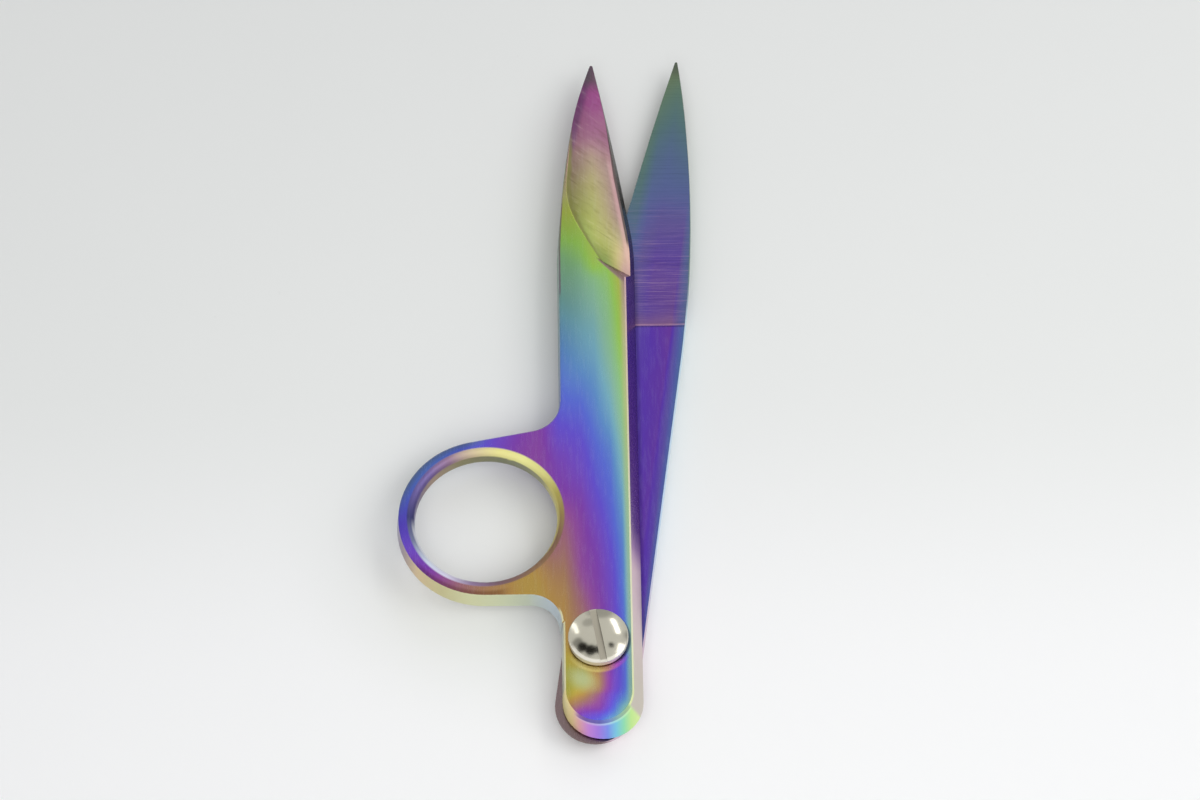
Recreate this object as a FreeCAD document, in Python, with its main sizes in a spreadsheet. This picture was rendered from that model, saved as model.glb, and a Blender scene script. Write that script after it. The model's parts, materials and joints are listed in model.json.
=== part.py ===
"""One-ring thread snips: two ground blades on a slotted pivot screw, held open by a hidden spring.

Units are millimetres. The pivot axis is Z, the ring blade points along +Y and lies over the plain
blade, and Z = 0 is the underside of the plain blade.
"""
import FreeCAD, Part
import math
import os

import Sketcher

SIZES = {
    # Both blades
    "blade_thickness": 3.3,
    "blade_gap": 0.2,
    "opening_angle": 7.8,
    "tip_half_width": 0.2,
    "cut_curve": 600.0,
    "heel_run": 7.5,
    "heel_drop": 0.65,
    "tail_rise": 0.5,
    "point_lean": 0.62,
    "point_setback": 1.9,
    "point_half_width": 0.12,
    "edge_break": 0.25,
    # Ring blade outline, measured from the pivot
    "ring_reach": 105.8,
    "ring_tip_lean": 0.2,
    "ring_cut_side": 6.5,
    "ring_cut_run": 1.4,
    "ring_back_side": 5.35,
    "ring_back_run": 0.3,
    "ring_back_flare": 0.3,
    "ring_heel": 67.0,
    "ring_back_start": 68.0,
    "ring_back_curve": 185.0,
    "ring_tail": 8.7,
    # Plain blade outline
    "plain_reach": 107.7,
    "plain_tip_lean": 0.5,
    "plain_cut_side": 5.2,
    "plain_cut_run": 0.3,
    "plain_back_side": 6.65,
    "plain_back_run": 1.4,
    "plain_back_flare": 0.15,
    "plain_heel": 72.5,
    "plain_back_start": 52.0,
    "plain_back_curve": 240.0,
    "plain_tail": 9.2,
    # Finger ring
    "hole_across": 16.6,
    "hole_along": 20.75,
    "hole_radius": 10.7,
    "hole_round": 1.15,
    "ring_radius": 13.1,
    "ring_slope": 11.0,
    "upper_neck": 5.2,
    "lower_neck": 4.75,
    "neck_root": 5.3,
    "lug_inside": 3.0,
    "ring_draft": 6.0,
    # Facet ground on each outer face: its steep shoulder, then four sections along the blade with
    # the height of the ground surface over the outer face at their left and right ends
    "shoulder_across": 1.1,
    "shoulder_along": 66.1,
    "shoulder_turn": 40.0,
    "shoulder_slope": 49.0,
    "shoulder_left_run": 8.0,
    "shoulder_left_depth": 4.0,
    "shoulder_right_run": 6.2,
    "shoulder_right_rise": 3.1,
    "shoulder_spare": 2.0,
    "facet_half_span": 7.0,
    "facet_spare": 3.5,
    "facet_root_along": 74.0,
    "facet_root_left": 0.77,
    "facet_root_right": -1.9,
    "facet_belly_along": 82.0,
    "facet_belly_left": 0.6,
    "facet_belly_right": -2.25,
    "facet_waist_along": 90.0,
    "facet_waist_left": 1.2,
    "facet_waist_right": -3.6,
    "facet_point_along": 109.0,
    "facet_point_left": -2.15,
    "facet_point_right": -3.94,
    # Hollow grind of the inner faces
    "ledge_along": 56.55,
    "ledge_turn": 7.8,
    "grind_depth": 0.12,
    "grind_half_width": 7.0,
    # Pivot
    "shoulder_radius": 2.5,
    "running_fit": 0.05,
    "thread_radius": 2.0,
    "thread_fit": 0.02,
    "head_radius": 4.4,
    "head_rim": 0.95,
    "head_crown": 0.85,
    "slot_width": 1.0,
    "slot_depth": 0.9,
    "slot_turn": 10.5,
    "washer_radius": 4.2,
    "washer_thickness": 0.25,
    # Spring and its pockets
    "wire_radius": 0.4,
    "wire_sides": 8,
    "coil_radius": 3.6,
    "coil_pitch": 0.84,
    "leg_length": 7.0,
    "recess_radius": 4.4,
    "recess_depth": 1.3,
    "leg_slot_width": 1.2,
    "leg_slot_end": 7.6,
    # Stop
    "pin_orbit": 8.2,
    "pin_radius": 0.9,
    "pin_sink": 2.4,
    "pin_rise": 1.5,
    "stop_play": 0.1,
    "stop_slot_depth": 1.7,
}

doc = FreeCAD.newDocument("thread_snips")


def make_sheet():
    """Put every driving dimension in a spreadsheet cell with an alias."""
    sheet = doc.addObject("Spreadsheet::Sheet", "Sizes")
    for row, (alias, value) in enumerate(SIZES.items(), start=1):
        sheet.set(f"A{row}", alias)
        sheet.set(f"B{row}", str(value))
        sheet.setAlias(f"B{row}", alias)
    doc.recompute()
    return sheet


sizes = make_sheet()


def value_of(expression):
    """Return the number that an expression over the sheet gives now."""
    result = sizes.evalExpression(expression)
    return float(getattr(result, "Value", result))


def bind(thing, path, expression):
    """Tie one property of an object to an expression over the sheet."""
    thing.setExpression(path, expression)


def new_body(name):
    """Start a sub-part whose label names its file."""
    body = doc.addObject("PartDesign::Body", name)
    body.Label = name
    return body


def origin_plane(body, role):
    """Find one of the body's own origin planes."""
    return next(item for item in body.Origin.OriginFeatures if item.Role == role)


def new_sketch(body, name, role="XY_Plane", offset="0"):
    """Attach a sketch to an origin plane, moved along the plane's normal by an expression."""
    sketch = body.newObject("Sketcher::SketchObject", name)
    sketch.AttachmentSupport = [(origin_plane(body, role), "")]
    sketch.MapMode = "FlatFace"
    bind(sketch, "AttachmentOffset.Base.z", offset)
    return sketch


def turn_in_place(sketch, rotation):
    """Turn an attached sketch about its own origin."""
    place = sketch.AttachmentOffset
    place.Rotation = rotation
    sketch.AttachmentOffset = place


def arc_through(start, end, radius, turn):
    """Make the shorter arc between two points; turn is 1 for left-hand, -1 for right-hand."""
    chord = end - start
    half = chord.Length / 2
    rise = math.sqrt(max(radius * radius - half * half, 0.0))
    side = FreeCAD.Vector(-chord.y, chord.x, 0).normalize()
    center = start + chord * 0.5 + side * rise * turn
    first, last = (start, end) if turn > 0 else (end, start)
    angles = [math.atan2(spot.y - center.y, spot.x - center.x) for spot in (first, last)]
    circle = Part.Circle(center, FreeCAD.Vector(0, 0, 1), radius)
    return Part.ArcOfCircle(circle, angles[0], angles[1])


def pin_down(sketch, kind, geometry, expression):
    """Add one driving constraint and tie it to the sheet."""
    index = sketch.addConstraint(Sketcher.Constraint(kind, *geometry, value_of(expression)))
    bind(sketch, f"Constraints[{index}]", expression)


def draw_outline(sketch, corners):
    """Draw a closed outline.

    A corner is (x, y) at the end of a line, or (x, y, radius, turn) at the end of an arc. Lengths
    are expressions over the sheet.
    """
    spots = [FreeCAD.Vector(value_of(corner[0]), value_of(corner[1]), 0) for corner in corners]
    ends = []
    for number, corner in enumerate(corners):
        start, end = spots[number - 1], spots[number]
        if len(corner) == 2:
            sketch.addGeometry(Part.LineSegment(start, end), False)
            ends.append((1, 2))
            continue
        radius, turn = corner[2:]
        sketch.addGeometry(arc_through(start, end, value_of(radius), turn), False)
        ends.append((1, 2) if turn > 0 else (2, 1))
    for number, corner in enumerate(corners):
        following = (number + 1) % len(corners)
        meeting = (number, ends[number][1], following, ends[following][0])
        sketch.addConstraint(Sketcher.Constraint("Coincident", *meeting))
        pin_down(sketch, "DistanceX", (-1, 1, number, ends[number][1]), corner[0])
        pin_down(sketch, "DistanceY", (-1, 1, number, ends[number][1]), corner[1])
        if len(corner) > 2:
            pin_down(sketch, "Radius", (number,), corner[2])


def draw_circle(sketch, across, along, radius):
    """Draw a circle at a place given by expressions."""
    center = FreeCAD.Vector(value_of(across), value_of(along), 0)
    circle = Part.Circle(center, FreeCAD.Vector(0, 0, 1), value_of(radius))
    number = sketch.addGeometry(circle, False)
    pin_down(sketch, "DistanceX", (-1, 1, number, 3), across)
    pin_down(sketch, "DistanceY", (-1, 1, number, 3), along)
    pin_down(sketch, "Radius", (number,), radius)


def cut(body, feature, name):
    """Recompute a cutting feature and make sure that it took material away."""
    before = body.Tip.BaseFeature.Shape.Volume if body.Tip == feature else body.Shape.Volume
    doc.recompute()
    if feature.Shape.Volume > before - 1e-4:
        raise RuntimeError(f"{name} removes nothing from {body.Label}")


def pocket(body, sketch, name, depth=None, upward=True):
    """Cut a sketch from its plane to a depth or right through, up from the inner face."""
    feature = body.newObject("PartDesign::Pocket", name)
    feature.Profile = sketch
    feature.Reversed = upward
    if depth is None:
        feature.Type = "ThroughAll"
    else:
        bind(feature, "Length", depth)
    cut(body, feature, name)
    return feature


def edge_names(shape, wanted):
    """Name the edges of a shape whose middle point passes a test."""
    names = []
    for number, edge in enumerate(shape.Edges, start=1):
        if edge.Degenerated:
            continue
        middle = edge.valueAt((edge.FirstParameter + edge.LastParameter) / 2)
        if wanted(edge, middle):
            names.append(f"Edge{number}")
    return names


def is_circle(edge, radius):
    """Tell whether an edge is part of a circle of about this radius."""
    return edge.Curve.TypeId == "Part::GeomCircle" and abs(edge.Curve.Radius - radius) < 1e-3


def dress(body, kind, name, size, wanted):
    """Fillet or chamfer the edges of the body's last feature whose middle passes a test."""
    base = body.Tip
    names = edge_names(base.Shape, wanted)
    if not names:
        raise RuntimeError(f"{name} finds no edge on {body.Label}")
    feature = body.newObject(f"PartDesign::{kind}", name)
    feature.Base = (base, names)
    bind(feature, "Radius" if kind == "Fillet" else "Size", size)
    doc.recompute()
    return feature


# ---------------------------------------------------------------- blades

def blade_corners(kind, cut_run, back_run, tail_rise, tip):
    """Corners of one blade outline, counter-clockwise from the tail on the cutting side.

    tip gives the left end, the right end, their place along the blade and the rounding.
    """
    cut_side = f"(Sizes.{kind}_cut_side - {cut_run})"
    back_side = f"(Sizes.{kind}_back_side - {back_run})"
    flared = f"-{back_side} - Sizes.{kind}_back_flare"
    tail = f"({tail_rise} - Sizes.{kind}_tail)"
    tail_radius = f"(({cut_side} + {back_side}) / 2)"
    heel_radius = "((Sizes.heel_drop ^ 2 + Sizes.heel_run ^ 2) / (2 * Sizes.heel_drop))"
    left, right, along, rounding = tip
    return [
        (cut_side, tail, tail_radius, 1),
        (cut_side, f"Sizes.{kind}_heel"),
        (f"{cut_side} - Sizes.heel_drop", f"Sizes.{kind}_heel + Sizes.heel_run", heel_radius, 1),
        (right, along, "Sizes.cut_curve", 1),
        (left, along, rounding, 1),
        (flared, f"Sizes.{kind}_back_start", f"Sizes.{kind}_back_curve", 1),
        (f"-{back_side}", tail),
        (f"({cut_side} - {back_side}) / 2", f"{tail} - {tail_radius}", tail_radius, 1),
    ]


def add_plate(body, kind):
    """Loft the blade from its wide inner face to its narrower, softened outer face."""
    half = "Sizes.tip_half_width"
    lean = f"Sizes.{kind}_tip_lean"
    edge = "Sizes.edge_break"
    cut_wall = f"Sizes.{kind}_cut_run"
    back_wall = f"Sizes.{kind}_back_run"
    sharp_tip = (f"{lean} - {half}", f"{lean} + {half}", f"Sizes.{kind}_reach - {half}", f"{half} * 1.05")
    blunt_tip = (
        "-Sizes.point_lean - Sizes.point_half_width",
        "-Sizes.point_lean + Sizes.point_half_width",
        f"Sizes.{kind}_reach - Sizes.point_setback",
        "Sizes.point_half_width * 1.05",
    )
    # Height, inset of the cutting side, inset of the back, rise of the tail, tip
    levels = [
        ("0", "0", edge, "0", sharp_tip),
        (edge, f"{cut_wall} * {edge} / Sizes.blade_thickness", "0", "0", sharp_tip),
        (f"Sizes.blade_thickness - {edge}", cut_wall, back_wall, "Sizes.tail_rise", blunt_tip),
        ("Sizes.blade_thickness", f"({cut_wall} + {edge})", f"({back_wall} + {edge})",
         "Sizes.tail_rise", blunt_tip),
    ]
    outlines = []
    for number, (height, cut_run, back_run, tail_rise, tip) in enumerate(levels, start=1):
        outline = new_sketch(body, f"{kind}_outline_{number}", offset=height)
        draw_outline(outline, blade_corners(kind, cut_run, back_run, tail_rise, tip))
        outlines.append(outline)
    plate = body.newObject("PartDesign::AdditiveLoft", f"{kind}_plate")
    plate.Profile = outlines[0]
    plate.Sections = outlines[1:]
    plate.Ruled = True
    doc.recompute()
    return plate


def add_facet(body, kind):
    """Grind the outer face away from the shoulder to the tip, deeper toward the cutting edge."""
    top = "Sizes.blade_thickness"
    shoulder = new_sketch(body, f"{kind}_shoulder", offset=top)
    bind(shoulder, "AttachmentOffset.Base.x", "Sizes.shoulder_across")
    bind(shoulder, "AttachmentOffset.Base.y", "Sizes.shoulder_along")
    turn = FreeCAD.Rotation(FreeCAD.Vector(0, 0, 1), -value_of("Sizes.shoulder_turn"))
    tilt = FreeCAD.Rotation(FreeCAD.Vector(1, 0, 0), 180 - value_of("Sizes.shoulder_slope"))
    turn_in_place(shoulder, turn * tilt)
    draw_outline(shoulder, [
        ("-Sizes.shoulder_left_run", "Sizes.shoulder_left_depth"),
        ("Sizes.shoulder_right_run", "-Sizes.shoulder_right_rise"),
        ("Sizes.shoulder_right_run + Sizes.shoulder_spare", "Sizes.shoulder_left_depth"),
        ("-Sizes.shoulder_left_run", "Sizes.shoulder_left_depth + Sizes.shoulder_spare"),
    ])
    sections = []
    for place_name in ("root", "belly", "waist", "point"):
        station = f"Sizes.facet_{place_name}"
        section = new_sketch(body, f"{kind}_facet_{place_name}", "XZ_Plane", f"-{station}_along")
        draw_outline(section, [
            ("-Sizes.facet_half_span", f"{top} + {station}_left"),
            ("Sizes.facet_half_span", f"{top} + {station}_right"),
            ("Sizes.facet_half_span", f"{top} + Sizes.facet_spare"),
            ("-Sizes.facet_half_span", f"{top} + Sizes.facet_spare"),
        ])
        sections.append(section)
    facet = body.newObject("PartDesign::SubtractiveLoft", f"{kind}_facet")
    facet.Profile = shoulder
    facet.Sections = sections
    cut(body, facet, "facet")
    return facet


def add_hollow_grind(body, kind):
    """Hollow the inner face very slightly from the ledge to the tip, so that only the edges meet."""
    reach = "Sizes.grind_half_width"
    radius = "((Sizes.grind_half_width ^ 2 + Sizes.grind_depth ^ 2) / (2 * Sizes.grind_depth))"
    segments = []
    for end, along in (("ledge", "Sizes.ledge_along"), ("point", f"(Sizes.{kind}_reach + 1)")):
        segment = new_sketch(body, f"{kind}_grind_{end}", "XZ_Plane", f"-{along}")
        draw_outline(segment, [(reach, "0"), (f"-{reach}", "0", radius, 1)])
        segments.append(segment)
    turn_in_place(segments[0], FreeCAD.Rotation(FreeCAD.Vector(0, 1, 0), -value_of("Sizes.ledge_turn")))
    hollow = body.newObject("PartDesign::SubtractiveLoft", f"{kind}_hollow_grind")
    hollow.Profile = segments[0]
    hollow.Sections = segments[1:]
    hollow.Ruled = True
    cut(body, hollow, "hollow grind")
    return hollow


def add_ring(body):
    """Grow the finger ring from the plate's back and open its rounded hole."""
    slope = "Sizes.ring_slope"
    top_x = f"(-Sizes.hole_across - Sizes.ring_radius * sin({slope} * 1 deg))"
    top_y = f"(Sizes.hole_along + Sizes.ring_radius * cos({slope} * 1 deg))"
    meeting_y = f"({top_y} + (-Sizes.neck_root - {top_x}) * tan({slope} * 1 deg))"
    upper_run = f"(Sizes.upper_neck * tan((90 - {slope}) / 2 * 1 deg))"
    outline = new_sketch(body, "ring_outline", offset="Sizes.blade_thickness - Sizes.edge_break")
    draw_outline(outline, [
        ("-Sizes.lug_inside", f"{meeting_y} + {upper_run}"),
        ("-Sizes.neck_root", f"{meeting_y} + {upper_run}"),
        (f"-Sizes.neck_root - {upper_run} * cos({slope} * 1 deg)",
         f"{meeting_y} - {upper_run} * sin({slope} * 1 deg)", "Sizes.upper_neck", -1),
        (top_x, top_y),
        ("-Sizes.hole_across - Sizes.ring_radius", "Sizes.hole_along", "Sizes.ring_radius", 1),
        ("-Sizes.hole_across", "Sizes.hole_along - Sizes.ring_radius", "Sizes.ring_radius", 1),
        ("-Sizes.neck_root - Sizes.lower_neck", "Sizes.hole_along - Sizes.ring_radius"),
        ("-Sizes.neck_root", "Sizes.hole_along - Sizes.ring_radius - Sizes.lower_neck",
         "Sizes.lower_neck", -1),
        ("-Sizes.lug_inside", "Sizes.hole_along - Sizes.ring_radius - Sizes.lower_neck"),
    ])
    lug = body.newObject("PartDesign::Pad", "ring_lug")
    lug.Profile = outline
    lug.Reversed = True
    bind(lug, "Length", "Sizes.blade_thickness - Sizes.edge_break")
    bind(lug, "TaperAngle", "Sizes.ring_draft")
    rim = body.newObject("PartDesign::Pad", "ring_softened_edge")
    rim.Profile = outline
    bind(rim, "Length", "Sizes.edge_break")
    rim.TaperAngle = -45
    doc.recompute()
    opening = new_sketch(body, "finger_hole_circle")
    draw_circle(opening, "-Sizes.hole_across", "Sizes.hole_along", "Sizes.hole_radius")
    pocket(body, opening, "finger_hole")
    dress(body, "Fillet", "hole_rims", "Sizes.hole_round",
          lambda edge, spot: is_circle(edge, value_of("Sizes.hole_radius")))


def add_pivot_cuts(body, kind, bore):
    """Bore the pivot hole and sink the spring's round recess and leg slot into the inner face."""
    bore_circle = new_sketch(body, f"{kind}_bore_circle")
    draw_circle(bore_circle, "0", "0", bore)
    pocket(body, bore_circle, f"{kind}_pivot_bore")
    recess_circle = new_sketch(body, f"{kind}_recess_circle")
    draw_circle(recess_circle, "0", "0", "Sizes.recess_radius")
    pocket(body, recess_circle, f"{kind}_spring_recess", "Sizes.recess_depth")
    slot = new_sketch(body, f"{kind}_leg_outline")
    outer_side = "-Sizes.coil_radius - Sizes.leg_slot_width / 2"
    inner_side = "-Sizes.coil_radius + Sizes.leg_slot_width / 2"
    end = "Sizes.leg_slot_end"
    draw_outline(slot, [(inner_side, "0"), (inner_side, end),
                        (outer_side, end, "Sizes.leg_slot_width * 0.505", 1), (outer_side, "0")])
    pocket(body, slot, f"{kind}_leg_slot", "Sizes.recess_depth")


def add_stop_slot(body):
    """Cut the blind arc slot that the stop pin runs in, from open at its left end to closed."""
    slot = new_sketch(body, "stop_slot_outline")
    half = "(Sizes.pin_radius + Sizes.stop_play)"
    near = f"(Sizes.pin_orbit - {half})"
    far = f"(Sizes.pin_orbit + {half})"
    angle = "(Sizes.opening_angle * 1 deg)"
    draw_outline(slot, [
        ("0", f"-{near}", f"{half} * 1.0001", 1),
        (f"-{near} * sin({angle})", f"-{near} * cos({angle})", near, -1),
        (f"-{far} * sin({angle})", f"-{far} * cos({angle})", f"{half} * 1.0001", 1),
        ("0", f"-{far}", far, 1),
    ])
    pocket(body, slot, "stop_slot", "Sizes.stop_slot_depth")


def make_ring_blade():
    """Build the upper blade with its one-piece finger ring, inner face down."""
    body = new_body("ring_blade")
    add_plate(body, "ring")
    add_ring(body)
    add_facet(body, "ring")
    add_hollow_grind(body, "ring")
    add_pivot_cuts(body, "ring", "Sizes.shoulder_radius + Sizes.running_fit")
    add_stop_slot(body)
    bind(body, "Placement.Base.z", "Sizes.blade_thickness + Sizes.blade_gap")
    return body


def make_plain_blade():
    """Build the lower blade outer face up, then turn it over and swing it to the open angle."""
    body = new_body("plain_blade")
    add_plate(body, "plain")
    add_facet(body, "plain")
    add_hollow_grind(body, "plain")
    add_pivot_cuts(body, "plain", "Sizes.thread_radius + Sizes.thread_fit")
    pin_circle = new_sketch(body, "pin_hole_circle")
    draw_circle(pin_circle, "0", "-Sizes.pin_orbit", "Sizes.pin_radius + Sizes.thread_fit")
    pocket(body, pin_circle, "pin_hole", "Sizes.pin_sink + 0.1")
    over = FreeCAD.Rotation(FreeCAD.Vector(0, 1, 0), 180)
    swing = FreeCAD.Rotation(FreeCAD.Vector(0, 0, 1), -value_of("Sizes.opening_angle"))
    body.Placement = FreeCAD.Placement(FreeCAD.Vector(0, 0, 0), swing * over)
    bind(body, "Placement.Base.z", "Sizes.blade_thickness")
    return body


# ---------------------------------------------------------------- pivot and stop

HEAD_SEAT = ("(2 * Sizes.blade_thickness + Sizes.blade_gap + Sizes.running_fit"
             " + Sizes.washer_thickness)")


def make_pivot_screw():
    """Turn the shouldered screw with its domed, slotted head."""
    body = new_body("pivot_screw")
    seat = "(Sizes.blade_thickness - Sizes.recess_depth)"
    rim = f"({HEAD_SEAT} + Sizes.head_rim)"
    dome = ("((Sizes.head_radius ^ 2 + Sizes.head_crown ^ 2) / (2 * Sizes.head_crown))")
    profile = new_sketch(body, "screw_profile", "XZ_Plane")
    draw_outline(profile, [
        ("0", "0"),
        ("Sizes.thread_radius", "0"),
        ("Sizes.thread_radius", seat),
        ("Sizes.shoulder_radius", seat),
        ("Sizes.shoulder_radius", HEAD_SEAT),
        ("Sizes.head_radius", HEAD_SEAT),
        ("Sizes.head_radius", rim),
        ("0", f"{rim} + Sizes.head_crown", dome, 1),
    ])
    turned = body.newObject("PartDesign::Revolution", "turned_screw")
    turned.Profile = profile
    turned.ReferenceAxis = (profile, ["V_Axis"])
    turned.Angle = 360
    doc.recompute()
    rim_height = value_of(rim)
    dress(body, "Fillet", "head_edge", "Sizes.edge_break",
          lambda edge, spot: abs(spot.z - rim_height) < 1e-3 and edge.Closed)
    blade = new_sketch(body, "driver_slot", offset=f"{rim} + Sizes.head_crown")
    half = "Sizes.slot_width / 2"
    reach = "(Sizes.head_radius + 1)"
    draw_outline(blade, [(half, f"-{reach}"), (half, reach), (f"-{half}", reach), (f"-{half}", f"-{reach}")])
    pocket(body, blade, "driver_slot_cut", "Sizes.slot_depth", upward=False)
    body.Placement.Rotation = FreeCAD.Rotation(FreeCAD.Vector(0, 0, 1), value_of("Sizes.slot_turn"))
    return body


def make_head_washer():
    """Punch the thin washer between the screw head and the ring blade."""
    body = new_body("head_washer")
    rings = new_sketch(body, "washer_rings")
    draw_circle(rings, "0", "0", "Sizes.washer_radius")
    draw_circle(rings, "0", "0", "Sizes.shoulder_radius + Sizes.running_fit")
    disc = body.newObject("PartDesign::Pad", "washer_disc")
    disc.Profile = rings
    bind(disc, "Length", "Sizes.washer_thickness")
    doc.recompute()
    bind(body, "Placement.Base.z", f"{HEAD_SEAT} - Sizes.washer_thickness")
    return body


def make_stop_pin():
    """Turn the dowel that is pressed into the plain blade and stands up into the arc slot."""
    body = new_body("stop_pin")
    round_end = new_sketch(body, "pin_circle")
    draw_circle(round_end, "0", "0", "Sizes.pin_radius")
    dowel = body.newObject("PartDesign::Pad", "dowel")
    dowel.Profile = round_end
    bind(dowel, "Length", "Sizes.pin_sink + Sizes.blade_gap + Sizes.pin_rise")
    doc.recompute()
    dress(body, "Chamfer", "dowel_ends", "Sizes.edge_break", lambda edge, spot: edge.Closed)
    bind(body, "Placement.Base.x", "-Sizes.pin_orbit * sin(Sizes.opening_angle * 1 deg)")
    bind(body, "Placement.Base.y", "-Sizes.pin_orbit * cos(Sizes.opening_angle * 1 deg)")
    bind(body, "Placement.Base.z", "Sizes.blade_thickness - Sizes.pin_sink")
    return body


def make_torsion_spring():
    """Wind the spring round the screw and run one leg straight out into each blade."""
    wire = value_of("Sizes.wire_radius")
    pitch = value_of("Sizes.coil_pitch")
    leg = value_of("Sizes.leg_length")
    opening = value_of("Sizes.opening_angle")
    turns = 1.5 - opening / 360
    coil = Part.makeHelix(pitch, turns * pitch, value_of("Sizes.coil_radius"), 0, True).Edges[0]
    (first, last) = (coil.FirstParameter, coil.LastParameter)
    lower_end = coil.valueAt(first) - coil.tangentAt(first) * leg
    upper_end = coil.valueAt(last) + coil.tangentAt(last) * leg
    lower_leg = Part.makeLine(lower_end, coil.valueAt(first))
    upper_leg = Part.makeLine(coil.valueAt(last), upper_end)
    path = Part.Wire([lower_leg, coil, upper_leg])
    upright = FreeCAD.Vector(0, 0, 1)
    aside = coil.tangentAt(first).cross(upright).normalize()
    sides = int(value_of("Sizes.wire_sides"))
    corners = []
    for number in range(sides + 1):
        angle = 2 * math.pi * (number + 0.5) / sides
        corners.append(lower_end + aside * wire * math.cos(angle) + upright * wire * math.sin(angle))
    section = Part.makePolygon(corners)
    spring = doc.addObject("Part::Feature", "torsion_spring")
    spring.Label = "torsion_spring"
    spring.Shape = path.makePipeShell([section], True, True)
    # The lower leg's end is the lowest point; spare height is shared above and below
    cavity = value_of("2 * Sizes.recess_depth + Sizes.blade_gap")
    spare = cavity - (upper_end.z - lower_end.z) - 2 * wire
    floor = value_of("Sizes.blade_thickness - Sizes.recess_depth")
    height = floor + spare / 2 + wire - lower_end.z
    swing = FreeCAD.Rotation(FreeCAD.Vector(0, 0, 1), -opening)
    spring.Placement = FreeCAD.Placement(FreeCAD.Vector(0, 0, height), swing)
    return spring


def check_and_write(parts):
    """Refuse failed features and bad solids, then write one STEP file per sub-part."""
    doc.recompute()
    for item in doc.Objects:
        if "Invalid" in item.State or "Error" in item.State:
            raise RuntimeError(f"{item.Name} failed: {item.State}")
    os.makedirs("parts", exist_ok=True)
    for item in parts:
        shape = item.Shape
        if shape.isNull() or not shape.isValid() or len(shape.Solids) != 1:
            raise RuntimeError(f"{item.Label} is not one valid solid")
        shape.exportStep(f"parts/{item.Label}.step")
        print(item.Label, round(shape.Volume, 1), "mm3")


check_and_write([
    make_plain_blade(),
    make_ring_blade(),
    make_pivot_screw(),
    make_head_washer(),
    make_stop_pin(),
    make_torsion_spring(),
])
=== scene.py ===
"""One-ring thread snips in a rainbow titanium coating, dressed and lit on a pale table."""

import json
import logging
import math
from dataclasses import dataclass
from enum import Enum
from types import MappingProxyType
from typing import Any, Mapping, Sequence, Union

import bpy
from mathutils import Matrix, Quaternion, Vector

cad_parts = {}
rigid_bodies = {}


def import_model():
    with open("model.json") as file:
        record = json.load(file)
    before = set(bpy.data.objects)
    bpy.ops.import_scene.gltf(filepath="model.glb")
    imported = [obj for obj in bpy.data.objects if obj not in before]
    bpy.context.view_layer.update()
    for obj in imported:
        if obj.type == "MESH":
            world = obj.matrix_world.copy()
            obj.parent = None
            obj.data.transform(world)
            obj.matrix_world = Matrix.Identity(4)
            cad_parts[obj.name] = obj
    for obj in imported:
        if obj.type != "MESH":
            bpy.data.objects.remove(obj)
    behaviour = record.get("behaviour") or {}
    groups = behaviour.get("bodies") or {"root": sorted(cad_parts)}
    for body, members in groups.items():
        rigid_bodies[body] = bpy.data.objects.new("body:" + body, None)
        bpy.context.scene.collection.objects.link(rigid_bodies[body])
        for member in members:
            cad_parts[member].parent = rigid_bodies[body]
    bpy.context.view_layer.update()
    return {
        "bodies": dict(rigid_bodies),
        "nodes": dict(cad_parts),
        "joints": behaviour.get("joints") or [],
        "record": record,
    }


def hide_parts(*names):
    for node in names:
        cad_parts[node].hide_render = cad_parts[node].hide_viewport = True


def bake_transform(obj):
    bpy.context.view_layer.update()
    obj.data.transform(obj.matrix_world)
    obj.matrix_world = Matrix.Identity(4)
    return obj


LOG = logging.getLogger("snips")
MM = 0.001
PER_METRE = 1000.0

Socket = bpy.types.NodeSocket
Value = Union[float, Socket]
Share = Union[Value, tuple[Value, float, float]]
Points = Sequence[tuple[float, float]]
Stops = Sequence[tuple[float, str]]
Colour = Union[str, Socket]


def linear(code: str) -> tuple[float, float, float, float]:
    """Turns a display colour into the linear colour that a socket takes.

    Args:
        code: The display colour, such as "#7e47a5".

    Returns:
        Red, green, blue and an alpha of 1.
    """
    channels = [int(code[i : i + 2], 16) / 255 for i in (1, 3, 5)]
    red, green, blue = (c / 12.92 if c <= 0.04045 else ((c + 0.055) / 1.055) ** 2.4 for c in channels)
    return red, green, blue, 1.0


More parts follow.
